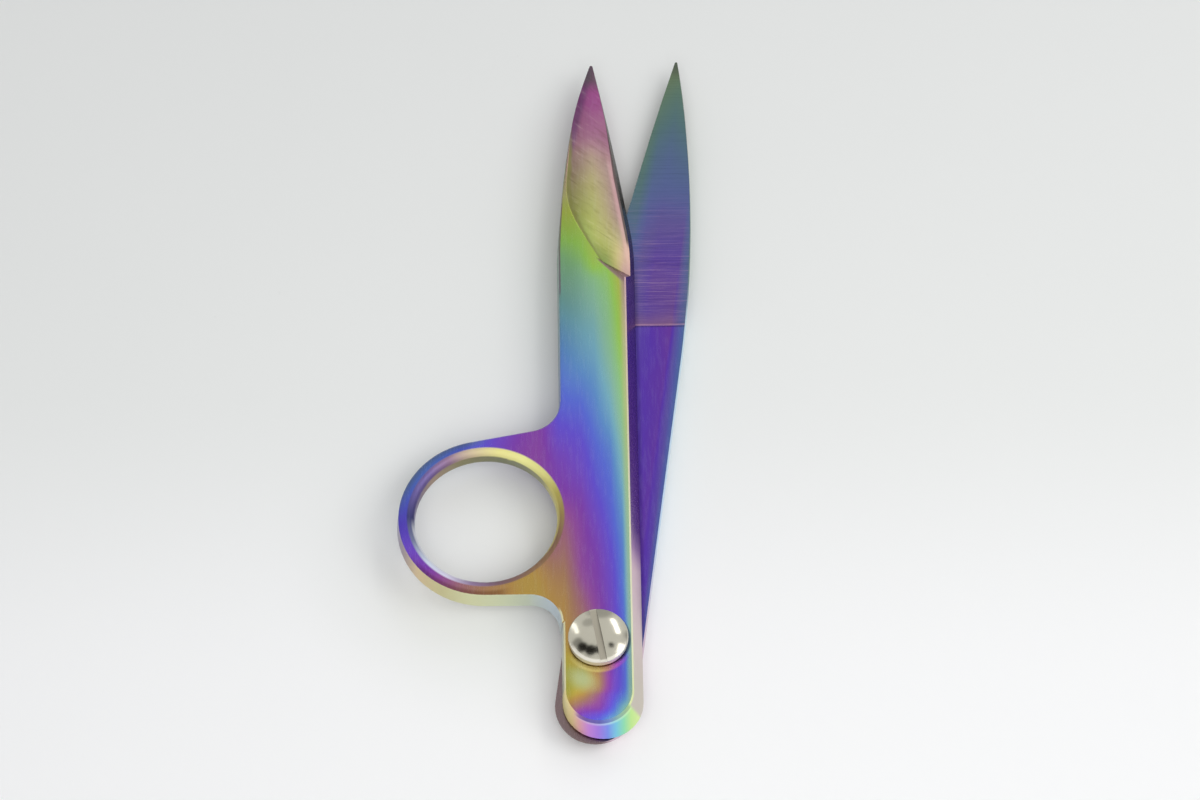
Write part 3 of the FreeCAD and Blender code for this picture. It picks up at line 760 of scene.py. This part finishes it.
@dataclass(frozen=True)
class RainbowPlainBlade(Finish):
    """The coating of the plain blade: dull teal and violet where it is ground, deep violet below the ledge."""

    turn: float = -7.8
    ledge: float = 56.03
    flat: Coating = Coating((
        (-3.4, ((-14, .36), (50, .38), (62, .40), (70, .45), (74, .50), (82, .58), (90, .64), (98, .70),
                (106.5, .74))),
        (-1.6, ((-14, .35), (50, .37), (62, .37), (70, .38), (74, .40), (82, .48), (90, .54), (98, .64),
                (106.5, .73))),
        (0.5, ((-14, .34), (50, .35), (57, .34), (66, .33), (74, .37), (78, .40), (82, .46), (90, .51),
               (98, .60), (106.5, .72))),
        (4.3, ((-14, .32), (50, .31), (57, .30), (62, .31), (74, .36), (82, .46), (90, .55), (98, .65),
               (106.5, .74))),
        (5.7, ((-14, .33), (15, .35), (40, .39), (57, .42), (64, .45), (70, .50), (82, .60), (90, .68), (98, .73),
               (106.5, .8))),
        (6.7, ((-14, .46), (40, .50), (57, .52), (64, .56), (70, .62), (82, .68), (90, .72), (98, .75), (106.5, .8))),
    ))
    tints: Stops = (
        (0.25, "#8a5a8c"), (0.30, "#6a3c96"), (0.34, "#5a3aa6"), (0.38, "#5c509f"), (0.42, "#565aa2"),
        (0.47, "#50649e"), (0.53, "#4d6e8c"), (0.58, "#4e757c"), (0.64, "#577b6e"), (0.70, "#667f5e"),
        (0.80, "#7c886a"),
    )
    right_bevel_tint_and_highlight: Stops = (
        (0, "#cdb4c4"), (20, "#c2d6ec"), (57, "#c6dce6"), (62, "#8092a4"), (66, "#76908c"), (104, "#5c6c58"),
    )
    left_bevel: Stops = ((-8, "#84726e"), (60, "#806c70"), (104, "#6c7a5c"))

    def ground_area(self, graph: Graph) -> Socket:
        """Gives the share that is ground, from the ledge to the point."""
        along = graph.position()[2]
        return graph.both((along, self.ledge - 0.03, self.ledge + 0.03), (graph.facing()[2], 0.8, 0.95))

    def scratched(self, graph: Graph, colour: Colour) -> tuple:
        """Lays the fine cross scratches over the ground area, and a painted highlight along its ledge.

        Args:
            graph: The material's nodes.
            colour: The colour of the coating.

        Returns:
            The scratches' height and the colour.
        """
        place, _, along, _ = graph.position()
        _, across, _, _ = graph.position(turn=self.turn)
        ground = self.ground_area(graph)
        worn = graph.both(ground, (along, 86.0, 66.0))
        scratch = graph.noise(place, (0.07, 6.5, 0.2), detail=6.0, roughness=0.8)
        fine_scratch = graph.noise(place, (0.16, 12.0, 0.2), detail=3.0, roughness=0.7)
        colour = graph.over(colour, "#6a645c", ground, 0.25)
        colour = graph.over(colour, "#a98cb0", worn, (scratch, 0.52, 0.7), 0.6)
        colour = graph.over(colour, "#7c7490", ground, (scratch, 0.48, 0.34), 0.35, kind="MULTIPLY")
        colour = graph.over(colour, "#9c706c", ground, (along, self.ledge + 3.2, self.ledge), (across, 5.6, 4.4), 0.3)
        colour = graph.over(colour, "#ac8cae", worn, (fine_scratch, 0.56, 0.68), 0.4)
        # Painted highlight: a bright pink line along the ledge.
        colour = graph.over(colour, "#d0a4b4", ground, (along, self.ledge + 0.55, self.ledge + 0.35),
                            (along, self.ledge + 0.1, self.ledge + 0.2), (scratch, 0.3, 0.6), 0.5)
        return scratch, colour

    def make(self) -> bpy.types.Material:
        """Builds the material.

        Returns:
            The material.
        """
        graph = Graph(bpy.data.materials.new("rainbow_titanium_plain_blade"))
        place, level_across, level_along, _ = graph.position()
        _, across, along, _ = graph.position(turn=self.turn)
        out_x, _, out_z = graph.facing()
        ground = self.ground_area(graph)
        colour = graph.ramp(drifting(graph, place, self.flat.lay(graph, across, along)), self.tints)
        scratch, colour = self.scratched(graph, colour)
        # Painted shade: a dark line just below the ledge.
        colour = graph.over(colour, "#35244e", (level_along, self.ledge - 0.35, self.ledge - 0.15),
                            (level_along, self.ledge + 0.05, self.ledge - 0.05), 0.5)
        # Painted shadow of the ring blade on the plain blade next to it.
        colour = graph.over(colour, "#9088a0", (level_across, 7.3, 6.6), (level_along, 70.0, 62.0), 0.5,
                            kind="MULTIPLY")
        colour = graph.over(colour, "#7e6c6e", (level_along, 8.0, 2.0), (level_across, 4.0, 2.0))
        off_flat = graph.step(out_z, 0.95, 0.8)
        bevel = graph.both(off_flat, (out_x, 0.1, 0.4))
        left = graph.both(off_flat, (out_x, -0.1, -0.4))
        # Painted highlight: the right bevel is pale up to the ledge.
        colour = graph.over(colour, graph.ramp(level_along, self.right_bevel_tint_and_highlight), bevel)
        colour = graph.over(colour, graph.ramp(level_along, self.left_bevel), left)
        colour = graph.over(colour, "#4c504c", (along, 103.5, 107.0), 0.7)
        grain = graph.noise(place, GRAIN_STRETCH, scale=GRAIN_SCALE, detail=4.0)
        colour = graph.over(colour, "#d0d4e0", (grain, GRAIN_LOW, GRAIN_HIGH), graph.minus(1.0, ground), GRAIN_SHARE)
        roughness = graph.blend(ground, graph.plus(0.24, graph.both(grain, 0.06)), 0.34)
        # The bevel's painted highlight is made less metallic.
        pale = graph.both(bevel, (level_along, 64.0, 60.0))
        return graph.finish(colour, graph.blend(pale, roughness, PALE_ROUGHNESS), graph.blend(pale, 1.0, 0.4),
                            graph.bump(scratch, 0.05, 0.5, ground))


class Steel(Enum):
    """The plain metals, each with its colour, roughness and grain in micrometres."""

    POLISHED_NICKEL = ("#c0bcae", 0.11, 2.0)
    SPRING_WIRE = ("#b9b9bb", 0.26, 4.0)
    GROUND_PIN = ("#c4c4c6", 0.22, 4.0)


@dataclass(frozen=True)
class BareMetal(Finish):
    """A plain metal with fine turning marks and slight staining."""

    name: str
    steel: Steel

    def turning_marks(self, graph: Graph) -> Socket:
        """Gives the fine marks that turning leaves."""
        return graph.noise(graph.position()[0], (1.0, 1.0, 3.0), scale=9.0, detail=4.0, roughness=0.7)

    def stained(self, graph: Graph, stain: str, size: float, detail: float) -> Socket:
        """Gives the metal's colour with faint stains.

        Args:
            graph: The material's nodes.
            stain: The stains' colour.
            size: Their fineness, per millimetre.
            detail: Their number of finer layers.

        Returns:
            The colour.
        """
        cloud = graph.noise(graph.position()[0], (1.0, 1.0, 1.0), scale=size, detail=detail)
        return graph.over(self.steel.value[0], stain, cloud, 0.3)

    def make(self) -> bpy.types.Material:
        """Builds the material.

        Returns:
            The material.
        """
        _, rough, depth = self.steel.value
        graph = Graph(bpy.data.materials.new(self.name))
        fine = self.turning_marks(graph)
        colour = self.stained(graph, "#bdb6aa", 0.7, 3.0)
        roughness = graph.plus(rough, graph.both((fine, 0.45, 0.75), 0.1))
        return graph.finish(colour, roughness, 1.0, graph.bump(fine, depth * MM, 0.6))


@dataclass(frozen=True)
class PolishedScrew(BareMetal):
    """The bright screw head, with painted shade down its slot and on its steep edge, and painted highlights on its
    lower rim and round its side.
    """

    slot_turn: float = 10.5
    slot_half_width: float = 0.5
    side_radius: float = 4.2

    def make(self) -> bpy.types.Material:
        """Builds the material.

        Returns:
            The material.
        """
        _, rough, depth = self.steel.value
        graph = Graph(bpy.data.materials.new(self.name))
        _, across, along, _ = graph.position()
        out_z = graph.facing()[2]
        fine = self.turning_marks(graph)
        colour = self.stained(graph, "#a8a494", 0.5, 2.0)
        radius = graph.length(across, along)
        off_middle = graph.math("ABSOLUTE", graph.position(turn=self.slot_turn)[1])
        shaded_slot = graph.both((off_middle, self.slot_half_width + 0.04, self.slot_half_width - 0.04),
                               (radius, self.side_radius + 0.1, self.side_radius))
        # Painted shade down the slot.
        colour = graph.over(colour, "#aaa394", shaded_slot, 0.8)
        lower_rim_highlight = graph.both((radius, 3.8, 4.05), (along, -0.6, -2.6))
        # Painted highlight on the head's lower rim.
        colour = graph.over(colour, "#f0ebdc", lower_rim_highlight, 0.85)
        # Painted shade on the head's steep edge.
        colour = graph.over(colour, "#3a372f", (out_z, 0.6, 0.3), (radius, self.side_radius, self.side_radius - 0.1))
        # Painted highlight: a pale band round the head's side.
        side = graph.both((out_z, 0.6, 0.4), (radius, self.side_radius, self.side_radius + 0.1))
        colour = graph.over(colour, "#e6e1d2", side)
        roughness = graph.plus(rough, graph.both((fine, 0.45, 0.75), 0.08))
        return graph.finish(colour, graph.blend(shaded_slot, roughness, 0.3),
                            graph.blend(graph.most(side, lower_rim_highlight), 1.0, PALE_METAL),
                            graph.bump(fine, depth * MM, 0.6))


@dataclass
class Piece:
    """One CAD node of the snips, with its finish."""

    node: str
    finish: Finish

    def dress(self, frame: dict) -> bpy.types.Object:
        """Gives the node its finish.


        Returns:
            The node's object.
        """
        piece = frame["nodes"][self.node]
        piece.data.materials.clear()
        piece.data.materials.append(self.finish.make())
        LOG.info("%s: %d faces", self.node, len(piece.data.polygons))
        return piece


@dataclass
class RingBlade(Piece):
    """The upper blade and its finger ring."""

    node: str = "ring_blade"
    finish: Finish = RainbowRingBlade()


@dataclass
class PlainBlade(Piece):
    """The lower blade."""

    node: str = "plain_blade"
    finish: Finish = RainbowPlainBlade()


@dataclass
class PivotScrew(Piece):
    """The screw that holds the blades together."""

    node: str = "pivot_screw"
    finish: Finish = PolishedScrew("polished_nickel_pivot_screw", Steel.POLISHED_NICKEL)


@dataclass
class HeadWasher(Piece):
    """The thin washer under the screw's head."""

    node: str = "head_washer"
    finish: Finish = BareMetal("polished_nickel_head_washer", Steel.POLISHED_NICKEL)


@dataclass
class StopPin(Piece):
    """The dowel that limits how far the blades open and close."""

    node: str = "stop_pin"
    finish: Finish = BareMetal("bright_steel_stop_pin", Steel.GROUND_PIN)


@dataclass
class TorsionSpring(Piece):
    """The spring between the blades, which winds up as they close."""

    node: str = "torsion_spring"
    finish: Finish = BareMetal("spring_steel_torsion_spring", Steel.SPRING_WIRE)
    slot: str = "spring_steel"
    weld: float = 0.002
    smooth_up_to: float = 50.0

    def dress(self, frame: dict) -> bpy.types.Object:
        """Puts a welded, smoothed copy in the place of the CAD's own spring, and hides the CAD's own.

        Returns:
            The copy.
        """
        source = super().dress(frame)
        copy = source.copy()
        copy.data = source.data.copy()
        copy.name = "wound_spring"
        copy.parent = None
        copy.matrix_world = source.matrix_world.copy()
        bpy.context.scene.collection.objects.link(copy)
        bpy.ops.object.select_all(action="DESELECT")
        bpy.context.view_layer.objects.active = copy
        copy.select_set(True)
        bpy.ops.object.transform_apply(location=True, rotation=True, scale=True)
        bpy.ops.object.mode_set(mode="EDIT")
        bpy.ops.mesh.select_all(action="SELECT")
        bpy.ops.mesh.remove_doubles(threshold=self.weld * MM)
        bpy.ops.object.mode_set(mode="OBJECT")
        bpy.ops.object.shade_smooth_by_angle(angle=math.radians(self.smooth_up_to))
        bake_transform(copy)
        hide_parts(self.node)
        LOG.info("%s: %d faces", copy.name, len(copy.data.polygons))
        return copy


def bearing(azimuth: float, elevation: float) -> Vector:
    """Turns a bearing into a direction.

    Args:
        azimuth: Degrees from +Y towards +X.
        elevation: Degrees above the table.

    Returns:
        The direction, of length 1.
    """
    turn, rise = math.radians(azimuth), math.radians(elevation)
    return Vector((math.sin(turn) * math.cos(rise), math.cos(turn) * math.cos(rise), math.sin(rise)))


@dataclass(frozen=True)
class SoftLamp:
    """A rectangular soft lamp, placed by its bearing from the snips in degrees and metres."""

    name: str
    azimuth: float
    elevation: float
    distance: float
    width: float
    height: float
    brightness: float
    mirrored: bool = True
    roll: float = 0.0


@dataclass(frozen=True)
class DarkSpot:
    """A dark thing overhead that polished metal mirrors, by its bearing and half width in degrees."""

    azimuth: float
    elevation: float
    half_width: float
    depth: float = 1.0
    core: float = 0.7
    fringe: float = 1.2

    def outside(self, graph: Graph, direction: Socket) -> Socket:
        """Gives how clear of the spot a direction is.

        Args:
            graph: The surroundings' nodes.
            direction: The direction.

        Returns:
            1 outside the spot, and less in it.
        """
        toward = graph.add("ShaderNodeVectorMath", {0: direction, 1: bearing(self.azimuth, self.elevation)},
                           operation="DOT_PRODUCT")
        clear = graph.step(toward.outputs["Value"], math.cos(math.radians(self.half_width * self.core)),
                           math.cos(math.radians(self.half_width * self.fringe)))
        return graph.blend(clear, 1.0 - self.depth, 1.0)


@dataclass
class Studio:
    """The table, the lamps, the surroundings and the camera."""

    table_side: float = 2.4
    table_gap: float = 0.02
    light_level: float = 0.47
    camera_target: tuple[float, float, float] = (0.0008, 0.0426, 0.0035)
    camera_elevation: float = 59.6
    camera_azimuth: float = 0.75
    camera_distance: float = 0.513
    focal_length: float = 100.0
    sensor_width: float = 36.0
    lamps: tuple[SoftLamp, ...] = (
        SoftLamp("front_panel", 180.0, 52.0, 0.4, 0.3, 0.3, 2.0, mirrored=False),
        SoftLamp("right_panel", 105.0, 48.0, 0.6, 0.35, 0.35, 2.2),
        SoftLamp("right_strip", 33.0, 46.0, 0.6, 0.06, 0.26, 3.5, roll=50.0),
        SoftLamp("left_strip", -41.0, 43.0, 0.7, 0.06, 0.24, 1.6, roll=-24.0),
    )
    spots: tuple[DarkSpot, ...] = (
        DarkSpot(-85.0, 79.0, 8.0),
        DarkSpot(-73.0, 67.0, 7.5),
        DarkSpot(0.0, 89.0, 6.0, 0.9),
        DarkSpot(-62.0, 58.0, 7.0, 0.6),
        DarkSpot(64.0, 70.0, 4.0),
        DarkSpot(58.0, 38.0, 9.0, 0.6),
        DarkSpot(2.0, 24.0, 14.0, 0.4),
        DarkSpot(-16.0, 43.0, 7.0, 0.35),
    )

    def lay_table(self) -> None:
        """Lays the pale table top under the snips, painted lighter towards the front and away from the finger hole.
        """
        bpy.ops.object.select_all(action="DESELECT")
        bpy.ops.mesh.primitive_plane_add(size=self.table_side, location=(0.0, 0.0, -self.table_gap * MM))
        table = bpy.context.object
        table.name = "table_top"
        bpy.ops.object.transform_apply(location=True, rotation=True, scale=True)
        graph = Graph(bpy.data.materials.new("matt_white_board"))
        place, _, along, _ = graph.position()
        _, from_x, from_y, _ = graph.position(centre=RainbowRingBlade.hole)
        cloud = graph.noise(place, (1.0, 1.0, 1.0), scale=0.012, detail=2.0)
        fleck = graph.noise(place, (1.0, 1.0, 1.0), scale=0.9, detail=2.0)
        colour = graph.over("#f3f4f1", "#eef0ed", cloud, 0.6)
        colour = graph.over(colour, "#b9b7b2", (fleck, 0.76, 0.84), 0.25)
        # Painted light: the table is lighter towards the front, except near the finger hole.
        colour = graph.over(colour, "#fdfdfc", (along, 50.0, -5.0), (graph.length(from_x, from_y), 14.0, 34.0), 0.9)
        table.data.materials.append(graph.finish(colour, 0.6, 0.0))

    def hang_lamp(self, lamp: SoftLamp) -> None:
        """Hangs one soft lamp that shines at the snips.

        Args:
            lamp: What to hang, and where.
        """
        data = bpy.data.lights.new(lamp.name, "AREA")
        data.shape = "RECTANGLE"
        data.size, data.size_y = lamp.width, lamp.height
        data.energy = lamp.brightness * math.pi * lamp.width * lamp.height
        away = bearing(lamp.azimuth, lamp.elevation)
        hung = bpy.data.objects.new(lamp.name, data)
        hung.location = Vector(self.camera_target) + away * lamp.distance
        level = away.to_track_quat("Z", "Y")
        hung.rotation_euler = (level @ Quaternion((0.0, 0.0, 1.0), math.radians(lamp.roll))).to_euler()
        hung.visible_glossy = lamp.mirrored
        bpy.context.scene.collection.objects.link(hung)

    def surround(self) -> None:
        """Gives a plain soft light from all round, and a white background to what sees it."""
        world = bpy.data.worlds.new("studio")
        bpy.context.scene.world = world
        graph = Graph(world)
        rays = graph.add("ShaderNodeLightPath").outputs
        seen = graph.most(rays["Is Camera Ray"], rays["Is Glossy Ray"], rays["Is Transmission Ray"])
        direction = graph.add("ShaderNodeTexCoord").outputs["Generated"]
        clear = graph.both(*(spot.outside(graph, direction) for spot in self.spots))
        light = graph.add("ShaderNodeBackground", {"Color": "#fafbff", "Strength": self.light_level})
        tone = graph.over("#16140f", "#fafbfa", clear)
        shown = graph.add("ShaderNodeBackground", {"Color": tone, "Strength": 1.0})
        choice = graph.add("ShaderNodeMixShader", {0: seen, 1: light.outputs[0], 2: shown.outputs[0]})
        graph.add("ShaderNodeOutputWorld", {0: choice.outputs[0]})

    def stand_camera(self) -> None:
        """Stands the camera in front of the finger ring's end, looking down at the blades."""
        data = bpy.data.cameras.new("camera")
        data.lens = self.focal_length
        data.sensor_width = self.sensor_width
        data.clip_start = 0.01
        camera = bpy.data.objects.new("camera", data)
        away = bearing(180.0 + self.camera_azimuth, self.camera_elevation) * self.camera_distance
        camera.location = Vector(self.camera_target) + away
        camera.rotation_euler = away.to_track_quat("Z", "Y").to_euler()
        bpy.context.scene.collection.objects.link(camera)
        bpy.context.scene.camera = camera

    def build(self) -> None:
        """Builds the whole studio."""
        self.lay_table()
        for lamp in self.lamps:
            self.hang_lamp(lamp)
        self.surround()
        self.stand_camera()
        bpy.context.scene.view_settings.view_transform = "Standard"


def main() -> None:
    """Builds every piece in order."""
    logging.basicConfig(level=logging.INFO, format="%(message)s")
    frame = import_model()
    Studio().build()
    for piece in (RingBlade(), PlainBlade(), PivotScrew(), HeadWasher(), StopPin(), TorsionSpring()):
        piece.dress(frame)


if __name__ == "__main__":
    main()
